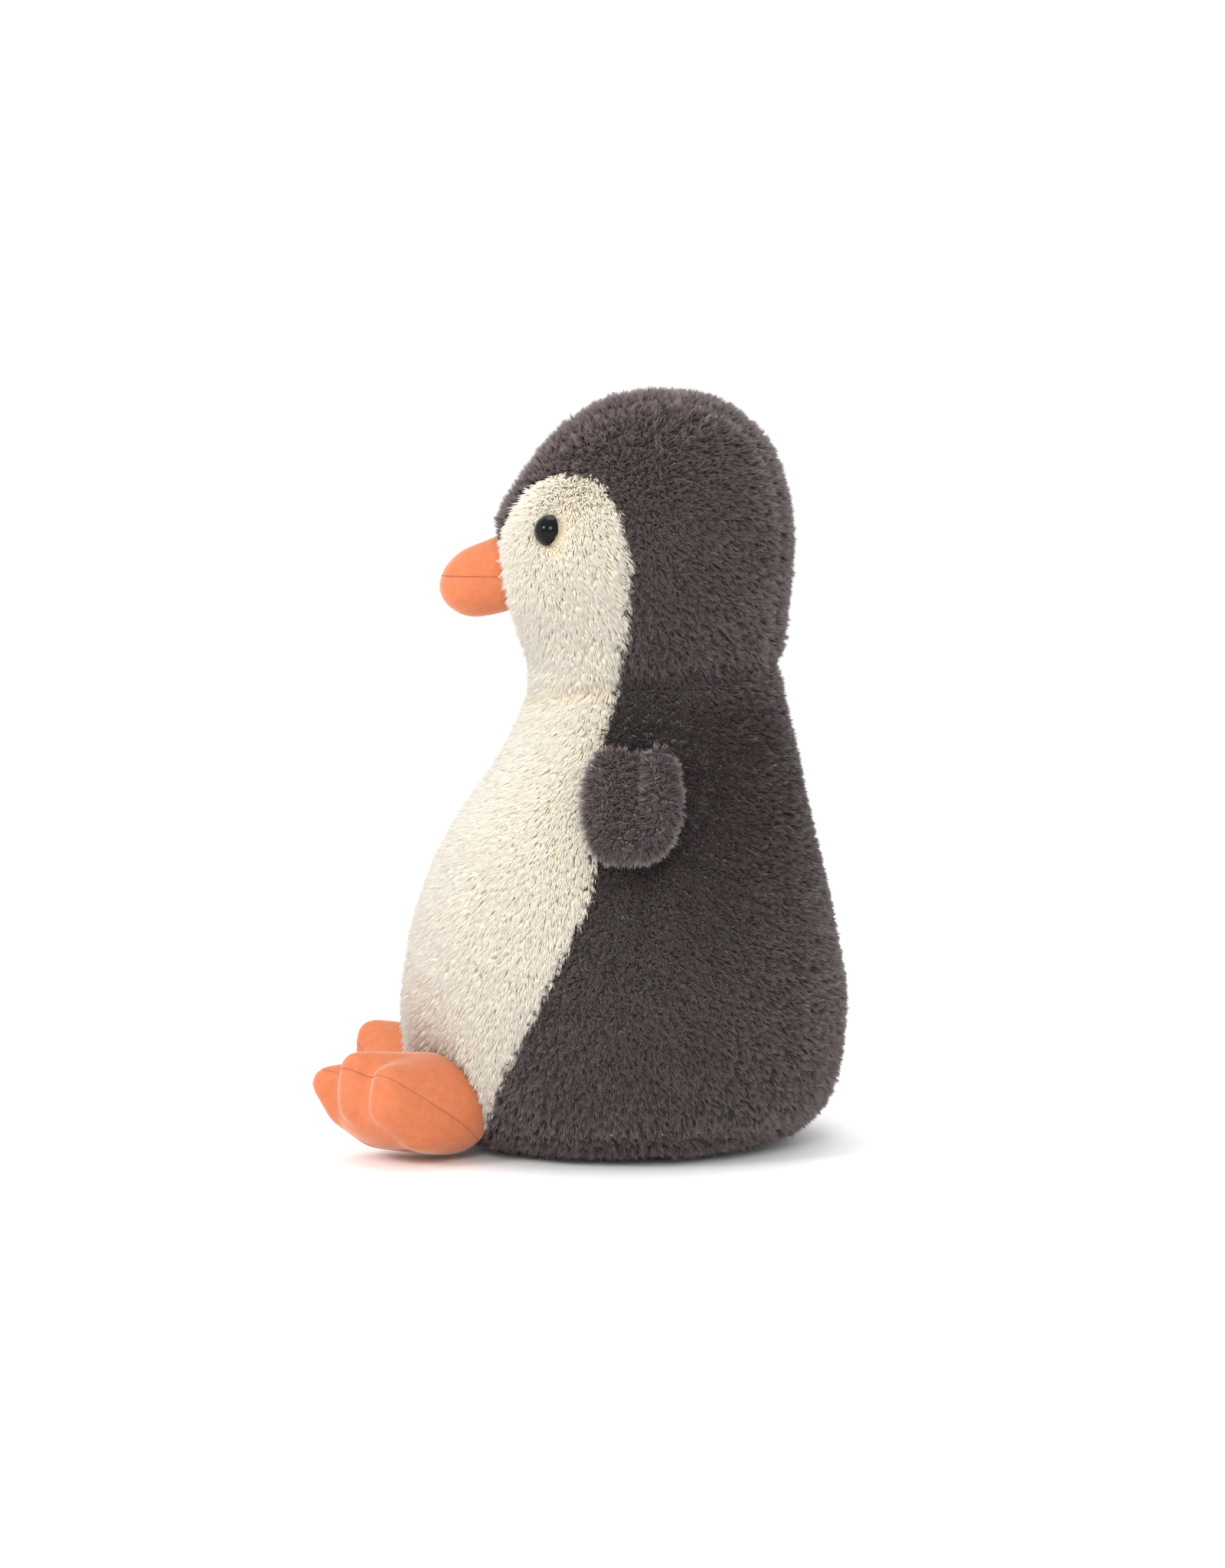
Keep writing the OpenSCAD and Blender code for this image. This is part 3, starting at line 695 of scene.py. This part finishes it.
def baseFlow(root, normal):
    # outwards to the rim of the seat, and down over it
    return root * (1, 1, 0) / (60 * mm) + np.array((0, 0, -0.6))


def headFlow(root, normal):
    # out from the beak over the face, back and down over the hood
    out = root - np.array(beakMiddle + Vector((0, 0, 6 * mm)))
    near = np.linalg.norm(out, axis=1, keepdims=True)
    out = out / near
    fade = np.clip(near / (70 * mm), 0, 1)
    return out * (1 - fade) + np.array((0, 0.35, -0.75)) * (fade + 0.35)


def eyeDistance(root):
    return np.min([np.linalg.norm(root - np.array(eyeMiddle[side]), axis=1) for side in sides], axis=0)


def faceFlow(root, normal):
    # back from the beak and down
    away = root - np.array(beakMiddle)
    away /= np.linalg.norm(away, axis=1, keepdims=True)
    away[:, 2] = np.minimum(away[:, 2], 0)
    return 0.8 * away + np.array((0, 0.15, -0.75))


def beakDistance(root):
    return np.hypot(root[:, 0], root[:, 2] - beakMiddle.z) + 1.0 * (root[:, 1] > 0)


def underBeakOrEye(root):
    return (beakDistance(root) < 10.4 * mm) | (eyeDistance(root) < 4.4 * mm)


def faceTrim(root):
    # shorter round the beak and the eye
    eye = np.clip(eyeDistance(root) / (10 * mm), 0.5, 1)
    return eye * np.clip((beakDistance(root) - 7 * mm) / (9 * mm), 0.45, 1)


for index, node in enumerate(panelNames):
    look, rider = panels[node]
    faces = np.where(facePanel == index)[0]
    if rider == "head":
        flow = faceFlow if look == "cream" else headFlow
        more = dict(avoid=underBeakOrEye, trim=faceTrim)
    elif node == "base_panel":
        flow = baseFlow
        more = basePile
    else:
        flow = bodyFlow
        more = {}
    growPile(pieceName(node), skin, faces, look, 10 * index, rider, flow, **more)

# ---- flippers: two lobes and a crease between them, in the shoulder's own directions ----
flipper = dict(lean=33, voxel=1.5 * mm, cap=0.6 * mm, crease=3.2 * mm, above=21.0 * mm, inwards=1.5 * mm,
               wall=0.8 * mm, gap=1.2 * mm, pile=3.7 * mm)
flipperCrease = dict(back=2.4, slant=0.05, width=1.9, length=26)  # in mm, from the flipper's top
flipperSeeds = {"left outer": 200, "left inner": 210, "right outer": 220, "right inner": 230}
flipperLobes = (  # down the flipper, towards the back, outwards, then the three radii
    (17.8, -5.2, -0.4, 18.2, 7.8, 5.4), (17.0, 8.2, 2.4, 16.0, 5.4, 5.2), (27.0, 1.0, 0.5, 9.0, 10.6, 4.6),
    (11.0, 1.0, -1.5, 11.0, 8.5, 4.0),
)


def makeFlipper():
    low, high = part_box("flipper_left_outer")
    lean = math.radians(flipper["lean"])
    alongDown = Vector((math.sin(lean), 0, -math.cos(lean)))
    outwards = Vector((math.cos(lean), 0, math.sin(lean)))
    turn = Matrix((alongDown, (0, 1, 0), outwards)).transposed().to_4x4()
    middle = (low + high) / 2
    top = middle - alongDown * flipper["above"] - outwards * flipper["inwards"]
    lobes = []
    for down, back, out, *radii in flipperLobes:
        spot = top + (alongDown * down + Vector((0, 1, 0)) * back + outwards * out) * mm
        lobes.append(ball(spot, [r * mm for r in radii], turn))
    pad = remesh(join("flipperLeftSkin", lobes), flipper["voxel"], rounds=4)
    puff(pad, flipper["cap"])
    finish(pad, "SUBSURF", levels=1, render_levels=1)
    # the crease runs down the outer side from the dip in the top edge
    local = (coords(pad) - np.array(top)) @ np.array(turn.to_3x3()) / mm
    beside = local[:, 1] - flipperCrease["back"] - flipperCrease["slant"] * local[:, 0]
    fade = np.clip(1.1 - local[:, 0] / flipperCrease["length"], 0, 1)
    crease = bell(beside, flipperCrease["width"]) * fade
    crease = crease * (vertexNormals(pad) @ np.array(outwards) > -0.2)
    setCoords(pad, coords(pad) - vertexNormals(pad) * (crease * flipper["crease"])[:, None])
    return smoothShade(pad), top, outwards


def flipperFlow(root, normal):
    # down, and out to the rim
    out = root - np.array(flipperTop)
    out[:, 0] = 0
    return 0.5 * out / np.linalg.norm(out, axis=1, keepdims=True) + np.array((0.15, 0.1, -0.8))


def rightFlipperFlow(root, normal):
    return flipperFlow(root * (-1, 1, 1), normal) * (-1, 1, 1)


flipperFlows = {"left": flipperFlow, "right": rightFlipperFlow}
flipperSkin, flipperTop, flipperOut = makeFlipper()
for side, sign in sides.items():
    skinHere = flipperSkin if sign > 0 else mirrored(flipperSkin, "flipperRightSkin")
    outward = Vector((flipperOut.x * sign, 0, flipperOut.z))
    facing = np.array([p.normal.dot(outward) for p in skinHere.data.polygons]) > 0
    where = "flipper" + side.title()
    for half, faces in (("outer", facing), ("inner", ~facing)):
        cloth = dropFaces(twin(skinHere, where + half.title() + "Cloth"), ~faces)
        finish(cloth, "SOLIDIFY", thickness=flipper["wall"], offset=-1)
        cloth.data.materials.append(backings["charcoal"])
        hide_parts(f"flipper_{side}_{half}")
        place(smoothShade(cloth), "flipper_" + side)
        growPile(
            where + half.title(), skinHere, np.where(faces)[0], "flipper", flipperSeeds[side + " " + half],
            "flipper_" + side, flipperFlows[side], length=flipper["pile"])
    stuffing = twin(skinHere, where + "Filling")
    finish(stuffing, "DISPLACE", strength=-flipper["gap"], mid_level=0)
    stuffing.data.materials.append(fibre)
    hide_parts(f"flipper_{side}_filling")
    place(stuffing, "flipper_" + side)
for name in ("bodySkin", "flipperLeftSkin", "flipperRightSkin"):
    bpy.data.objects.remove(bpy.data.objects[name])
print("flippers made")


# ---- suede halves: a stuffed shape parted along its seam ----
def parted(shape, seamPoint, seamNormal, groove, names, wall):
    # presses a groove along the seam, marks it, and gives the two halves
    normal = Vector(seamNormal).normalized()
    for offset in (-groove["width"], 0, groove["width"]):
        cut(shape, Vector(seamPoint) + normal * offset, normal)
    height = (coords(shape) - np.array(seamPoint)) @ np.array(normal)
    depth = groove["depth"] * bell(height, groove["width"])
    setCoords(shape, coords(shape) - vertexNormals(shape) * depth[:, None])
    setValue(shape, "seam", bell(height, groove["width"] * 0.9))
    side = np.array([(p.center - Vector(seamPoint)).dot(normal) for p in shape.data.polygons]) > 0
    halves = []
    for name, keep in zip(names, (side, ~side)):
        half = dropFaces(twin(shape, name), ~keep)
        finish(half, "SOLIDIFY", thickness=wall, offset=-1)
        half.data.materials.append(suede)
        halves.append(smoothShade(half))
    return halves


# ---- beak ----
beak = dict(tipRadius=11.0 * mm, halfWidth=12.2 * mm, droop=0.24, rise=2.6 * mm, flare=1.3 * mm,
            voxel=1.0 * mm, cap=0.3 * mm, wall=1.0 * mm, gap=1.4 * mm, stitch=1.3 * mm)
beakStep = dict(count=4, move=Vector((0, 3.2 * mm, 0.62 * mm)), widen=1.022, heighten=1.034)
beakGroove = dict(width=0.2 * mm, depth=0.2 * mm)


def makeBeak():
    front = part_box("beak_upper")[0].y
    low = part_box("beak_lower")[0].z
    centre = Vector((0, front + beak["tipRadius"], low + beak["tipRadius"] * 0.98))
    radii = (beak["halfWidth"], beak["tipRadius"], beak["tipRadius"])
    shape = ball(centre, radii, Matrix.Rotation(math.pi / 2, 4, "X"), 64)
    cut(shape, centre, (0, -1, 0), clear=True)
    edit(shape, "EDGE")
    bpy.ops.mesh.select_non_manifold()
    for step in range(beakStep["count"]):
        bpy.ops.mesh.extrude_region_move(TRANSFORM_OT_translate={"value": beakStep["move"]})
        bpy.ops.transform.resize(value=(beakStep["widen"], 1, beakStep["heighten"]),
                                 center_override=centre + beakStep["move"] * (step + 1))
    bpy.ops.mesh.edge_face_add()
    objectMode()
    finish(shape, "REMESH", mode="VOXEL", voxel_size=beak["voxel"])
    finish(shape, "SMOOTH", factor=0.5, iterations=4)
    puff(shape, beak["cap"])
    co = coords(shape)
    ahead = np.maximum(centre.y - co[:, 1], 0)
    co[:, 2] -= beak["droop"] * ahead * np.clip((co[:, 2] - low) / (20 * mm), 0, 1)
    behind = np.clip((co[:, 1] - centre.y) / (14 * mm), 0, 1)
    height = (co[:, 2] - centre.z) / beak["tipRadius"]
    co[:, 2] += beak["rise"] * behind**2 * np.clip(-height, 0, 1)
    co[:, 2] += beak["flare"] * behind * np.clip(height, 0, 1)
    setCoords(shape, co)
    return shape


beakShape = makeBeak()
beakStuffing = twin(beakShape, "beakFilling")
finish(beakStuffing, "DISPLACE", strength=-beak["gap"], mid_level=0)
beakStuffing.data.materials.append(fibre)
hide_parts("beak_filling")
place(beakStuffing, "head")
beakNames = ("beakUpperCloth", "beakLowerCloth")
beakHalves = parted(beakShape, beakMiddle, (0, 0, 1), beakGroove, beakNames, beak["wall"])
for half, node in zip(beakHalves, ("beak_upper", "beak_lower")):
    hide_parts(node)
    place(half, "head")

# stitches along the beak's seam, one modelled and copied
beakTree = BVHTree.FromObject(beakShape, bpy.context.evaluated_depsgraph_get())
oneStitch = ball((0, 0, 0), (0.2 * mm, 0.42 * mm, 0.18 * mm), segments=8)
stitches = []
rim = []
for step in range(181):
    turn = math.radians(step)
    start = Vector((0, beakMiddle.y - 8 * mm, beakMiddle.z - 0.02 * mm))
    hit = beakTree.ray_cast(start, Vector((math.cos(turn), -math.sin(turn), 0)))[0]
    rim.append(hit)
walked = 0.0
for here, after in zip(rim, rim[1:]):
    walked += (after - here).length
    if walked >= beak["stitch"]:
        walked -= beak["stitch"]
        copy = twin(oneStitch, "stitch")
        along = (after - here).normalized()
        turn = along.to_track_quat("Y", "Z").to_matrix().to_4x4()
        copy.data.transform(Matrix.Translation(after) @ turn)
        stitches.append(copy)
bpy.data.objects.remove(oneStitch)
stitching = join("beakStitches", stitches)
stitching.data.materials.append(threadMat)
place(smoothShade(stitching), "head")
bpy.data.objects.remove(beakShape)
print("beak made")

# ---- feet: heel, instep and three toes, in the foot's own directions ----
foot = dict(turn=34, lift=34, roll=7, outwards=6 * mm, up={"left": 1.3 * mm, "right": -1.6 * mm},
            voxel=1.1 * mm, cap=0.7 * mm, wall=1.0 * mm, gap=1.4 * mm, rest=0.6 * mm)
footGroove = dict(width=0.22 * mm, depth=0.3 * mm)
# towards the toes, outwards, up, then the three radii
instep = (-13.0, 2.5, 5.2, 18.0, 19.0, 14.6)
soleBall = (-1.0, 0.0, -5.0, 13.0, 19.0, 9.4)
toes = {
    "middle": ((13.2, 0.0, 2.2, 5.2, 6.2, 5.4), (8.0, 0.0, -5.9, 6.4, 7.0, 6.4)),
    "outer": ((8.7, 13.5, 0.2, 5.2, 6.0, 5.4), (5.0, 13.0, -5.4, 6.4, 6.8, 6.4),
              (-6.0, 12.0, -2.0, 12.0, 8.4, 11.0)),
    "inner": ((12.7, -13.5, -2.3, 5.2, 6.0, 5.2), (4.2, -13.3, -5.3, 6.4, 6.8, 6.4),
              (-5.0, -11.0, -2.0, 12.0, 8.4, 11.0)),
    # the right foot has its inner toe tucked under
    "tucked": ((6.7, -13.0, -5.3, 5.0, 5.8, 5.0), (1.0, -12.5, -6.5, 6.2, 6.6, 6.0),
               (-6.0, -11.0, -3.0, 12.0, 8.4, 11.0)),
}


def footLobe(middle, turn, lobe):
    spot = middle + turn.to_3x3() @ (Vector(lobe[:3]) * mm)
    return ball(spot, [radius * mm for radius in lobe[3:]], turn)


def makeFoot(side):
    # a left foot; the right one is turned over afterwards
    low = Vector(map(min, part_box("foot_left_top")[0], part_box("foot_left_sole")[0]))
    high = Vector(map(max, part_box("foot_left_top")[1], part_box("foot_left_sole")[1]))
    middle = (low + high) / 2 + Vector((foot["outwards"], 0, foot["up"][side]))
    turn = (Matrix.Rotation(math.radians(foot["turn"] - 90), 4, "Z")
            @ Matrix.Rotation(math.radians(foot["roll"]), 4, "X")
            @ Matrix.Rotation(math.radians(-foot["lift"]), 4, "Y"))
    lobes = []
    for toe in ("middle", "outer", "inner" if side == "left" else "tucked"):
        balls = [footLobe(middle, turn, lobe) for lobe in (instep, *toes[toe])]
        lobes.append(join(toe + "Toe", balls))
        edit(lobes[-1])
        bpy.ops.mesh.select_all(action="SELECT")
        bpy.ops.mesh.convex_hull()
        objectMode()
    lobes.append(footLobe(middle, turn, soleBall))
    shape = remesh(join("footShape", lobes), foot["voxel"], rounds=6)
    puff(shape, foot["cap"])
    co = coords(shape)
    # it flattens where it stands
    rest = foot["rest"]
    height = co[:, 2]
    pressed = rest + np.maximum(height - rest, 0) ** 2 / (4 * rest) + rest * (height > rest)
    co[:, 2] = np.where(height < 3 * rest, pressed, height)
    setCoords(shape, co)
    return shape, middle, turn


for side, sign in sides.items():
    where = "foot" + side.title()
    shape, middle, turn = makeFoot(side)
    stuffing = twin(shape, where + "Filling")
    finish(stuffing, "DISPLACE", strength=-foot["gap"], mid_level=0)
    stuffing.data.materials.append(fibre)
    up = turn.to_3x3() @ Vector((0, 0, 1))
    halves = parted(shape, middle, up, footGroove, (where + "TopCloth", where + "SoleCloth"), foot["wall"])
    slots = ("fibre_filling", "orange_suede", "orange_suede")
    for piece, part, slotName in zip((stuffing, *halves), ("filling", "top", "sole"), slots):
        if sign < 0:
            name = piece.name
            piece = mirrored(piece, name + "Turned")
            bpy.data.objects.remove(bpy.data.objects[name])
            rename(piece, name)
        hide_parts(f"foot_{side}_{part}")
        place(piece, "foot_" + side)
    bpy.data.objects.remove(shape)
print("feet made")

# ---- CAD nodes that stay: eyes, washers, pouch and pellets ----
eyeMat, eyeTree, eyeShader = material("eyeBlack", grey(0.001), 0.05, Specular_IOR_Level=0.18)
eyeGrain = noiseNode(eyeTree, 400, 2)
eyeColour = ramp(eyeTree, eyeGrain, [(0.3, grey(0.0008)), (0.7, grey(0.002))])
eyeTree.links.new(eyeColour, eyeShader.inputs["Base Color"])
kept = {
    "eye_left": eyeMat, "eye_right": eyeMat, "pellet_pouch": pouchCloth,
    "eye_washer_left": plasticMaterial("washerPlastic", (0.85, 0.85, 0.83), 0.5, 800),
    "pellets": plasticMaterial("pelletPlastic", (0.82, 0.82, 0.78), 0.45, 500),
}
kept["eye_washer_right"] = kept["eye_washer_left"]
for node, mat in kept.items():
    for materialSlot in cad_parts[node].material_slots:
        materialSlot.material = mat
